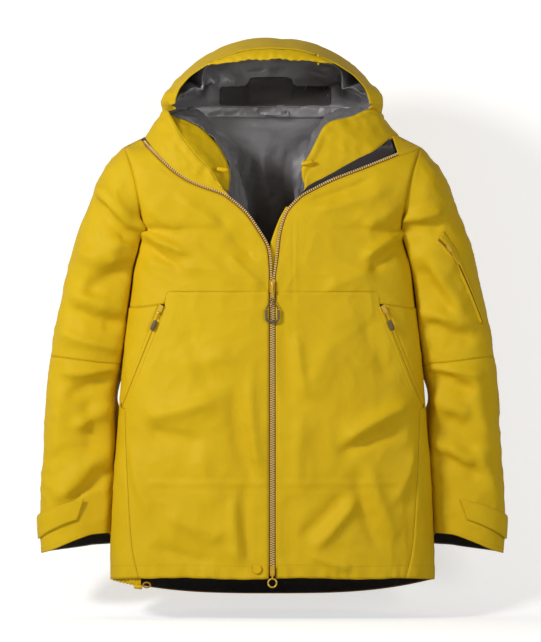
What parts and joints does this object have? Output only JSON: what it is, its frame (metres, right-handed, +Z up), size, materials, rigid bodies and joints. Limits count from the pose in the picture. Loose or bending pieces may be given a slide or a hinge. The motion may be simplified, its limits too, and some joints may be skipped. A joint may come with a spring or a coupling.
{
  "type": "hooded hardshell jacket",
  "caption": "Yellow hooded hardshell jacket with a two-way front zip, zipped hand and sleeve pockets, a peaked hood and strapped cuffs.",
  "frame": {"origin": "at the hanger loop, inside the middle of the back neck seam", "axes": "+Z up along the body, -Y the way the wearer faces, +X the wearer's left side"},
  "size_m": [0.7764, 0.2157, 0.9205],
  "materials": {
    "shell_fabric": "matte woven, water-repellent",
    "lining": "satin",
    "black_trim": "brushed",
    "tape": "woven tape",
    "cord": "braided",
    "zip_teeth": "matte",
    "moulded_plastic": "matte",
    "eyelet_plastic": "matte",
    "enamelled_metal": "enamel",
    "dark_metal": "satin"
  },
  "bodies": {
    "torso": {"back_lining": "lining", "back_panel": "shell_fabric", "chest_panel_left": "shell_fabric", "chest_panel_right": "shell_fabric", "chin_guard": "black_trim", "collar_facing_left": "lining", "collar_facing_right": "lining", "collar_left": "shell_fabric", "collar_right": "shell_fabric", "front_panel_left": "shell_fabric", "front_panel_right": "shell_fabric", "hanger_loop": "black_trim", "hem_cord_lock": "moulded_plastic", "hem_facing": "black_trim", "hem_tab": "tape", "hood_toggle_left": "moulded_plastic", "hood_toggle_right": "moulded_plastic", "pocket_bag_left": "lining", "pocket_bag_right": "lining", "pocket_zip_left": "tape", "pocket_zip_right": "tape", "press_stud": "enamelled_metal", "side_panel_left": "shell_fabric", "side_panel_right": "shell_fabric", "storm_flap": "shell_fabric", "zip_chain_left": "zip_teeth", "zip_chain_right": "zip_teeth", "zip_tape_left": "tape", "zip_tape_right": "tape"},
    "hood": {"hood_shell": "shell_fabric", "hood_lining": "lining", "hood_peak": "shell_fabric", "neck_label": "black_trim", "brim_eyelet_left": "eyelet_plastic", "brim_eyelet_right": "eyelet_plastic"},
    "main_slider": {"main_slider": "enamelled_metal"},
    "main_pull": {"main_pull_tab": "dark_metal", "main_pull_cord": "cord", "main_pull_grip": "moulded_plastic"},
    "bottom_slider": {"bottom_slider": "enamelled_metal"},
    "bottom_pull": {"bottom_ring_pull": "enamelled_metal"},
    "sleeve_slider": {"sleeve_slider": "enamelled_metal"},
    "sleeve_pull": {"sleeve_pull": "enamelled_metal"},
    "pocket_slider_left": {"pocket_slider_left": "enamelled_metal"},
    "pocket_pull_left": {"pocket_pull_tab_left": "enamelled_metal", "pocket_pull_grip_left": "moulded_plastic"},
    "upper_sleeve_left": {"upper_sleeve_left": "shell_fabric", "sleeve_pocket_zip": "tape", "sleeve_pocket_bag": "lining"},
    "forearm_left": {"forearm_left": "shell_fabric", "cuff_facing_left": "black_trim"},
    "cuff_tab_left": {"cuff_tab_left": "shell_fabric"},
    "pocket_slider_right": {"pocket_slider_right": "enamelled_metal"},
    "pocket_pull_right": {"pocket_pull_tab_right": "enamelled_metal", "pocket_pull_grip_right": "moulded_plastic"},
    "upper_sleeve_right": {"upper_sleeve_right": "shell_fabric"},
    "forearm_right": {"forearm_right": "shell_fabric", "cuff_facing_right": "black_trim"},
    "cuff_tab_right": {"cuff_tab_right": "shell_fabric"}
  },
  "joints": [
    {"name": "hood_tip", "type": "hinge", "parent": "torso", "child": "hood", "pos_m": [0, 0.066, 0.001], "axis": [-1, 0, 0], "range_deg": [0, 75]},
    {"name": "main_slider_run", "type": "slide", "parent": "torso", "child": "main_slider", "axis": [0, 0, -1], "range_m": [0, 0.3]},
    {"name": "main_pull_swing", "type": "hinge", "parent": "main_slider", "child": "main_pull", "pos_m": [0, -0.0914, -0.2976], "axis": [-1, 0, 0], "range_deg": [0, 140]},
    {"name": "bottom_slider_run", "type": "slide", "parent": "torso", "child": "bottom_slider", "axis": [0, 0, 1], "range_m": [0, 0.09]},
    {"name": "bottom_pull_swing", "type": "hinge", "parent": "bottom_slider", "child": "bottom_pull", "pos_m": [0, -0.0914, -0.76168], "axis": [-1, 0, 0], "range_deg": [0, 140]},
    {"name": "pocket_slider_run_left", "type": "slide", "parent": "torso", "child": "pocket_slider_left", "axis": [0.3719, 0.1328, -0.9187], "range_m": [0, 0.12]},
    {"name": "pocket_pull_swing_left", "type": "hinge", "parent": "pocket_slider_left", "child": "pocket_pull_left", "pos_m": [0.18699, -0.0704, -0.33161], "axis": [-0.8537, -0.3399, -0.3947], "range_deg": [0, 120]},
    {"name": "pocket_slider_run_right", "type": "slide", "parent": "torso", "child": "pocket_slider_right", "axis": [-0.3719, 0.1328, -0.9187], "range_m": [0, 0.12]},
    {"name": "pocket_pull_swing_right", "type": "hinge", "parent": "pocket_slider_right", "child": "pocket_pull_right", "pos_m": [-0.18699, -0.0704, -0.33161], "axis": [-0.8537, 0.3399, 0.3947], "range_deg": [0, 120]},
    {"name": "sleeve_slider_run", "type": "slide", "parent": "upper_sleeve_left", "child": "sleeve_slider", "axis": [0.4746, 0.2056, -0.8558], "range_m": [0, 0.08]},
    {"name": "sleeve_pull_swing", "type": "hinge", "parent": "sleeve_slider", "child": "sleeve_pull", "pos_m": [0.29373, -0.05037, -0.23044], "axis": [-0.8079, -0.2841, -0.5163], "range_deg": [0, 120]},
    {"name": "shoulder_lift_left", "type": "hinge", "parent": "torso", "child": "upper_sleeve_left", "pos_m": [0.247, 0, -0.058], "axis": [0, -1, 0], "range_deg": [0, 60]},
    {"name": "elbow_bend_left", "type": "hinge", "parent": "upper_sleeve_left", "child": "forearm_left", "pos_m": [0.311, -0.0285, -0.411], "axis": [-1, 0, 0], "range_deg": [0, 60]},
    {"name": "cuff_tab_peel_left", "type": "hinge", "parent": "forearm_left", "child": "cuff_tab_left", "pos_m": [0.31056, -0.01859, -0.65449], "axis": [0.0283, 0.0203, -0.9994], "range_deg": [0, 110]},
    {"name": "shoulder_lift_right", "type": "hinge", "parent": "torso", "child": "upper_sleeve_right", "pos_m": [-0.247, 0, -0.058], "axis": [0, 1, 0], "range_deg": [0, 60]},
    {"name": "elbow_bend_right", "type": "hinge", "parent": "upper_sleeve_right", "child": "forearm_right", "pos_m": [-0.311, -0.0285, -0.411], "axis": [-1, 0, 0], "range_deg": [0, 60]},
    {"name": "cuff_tab_peel_right", "type": "hinge", "parent": "forearm_right", "child": "cuff_tab_right", "pos_m": [-0.31056, -0.01859, -0.65449], "axis": [0.0283, -0.0203, 0.9994], "range_deg": [0, 110]}
  ]
}
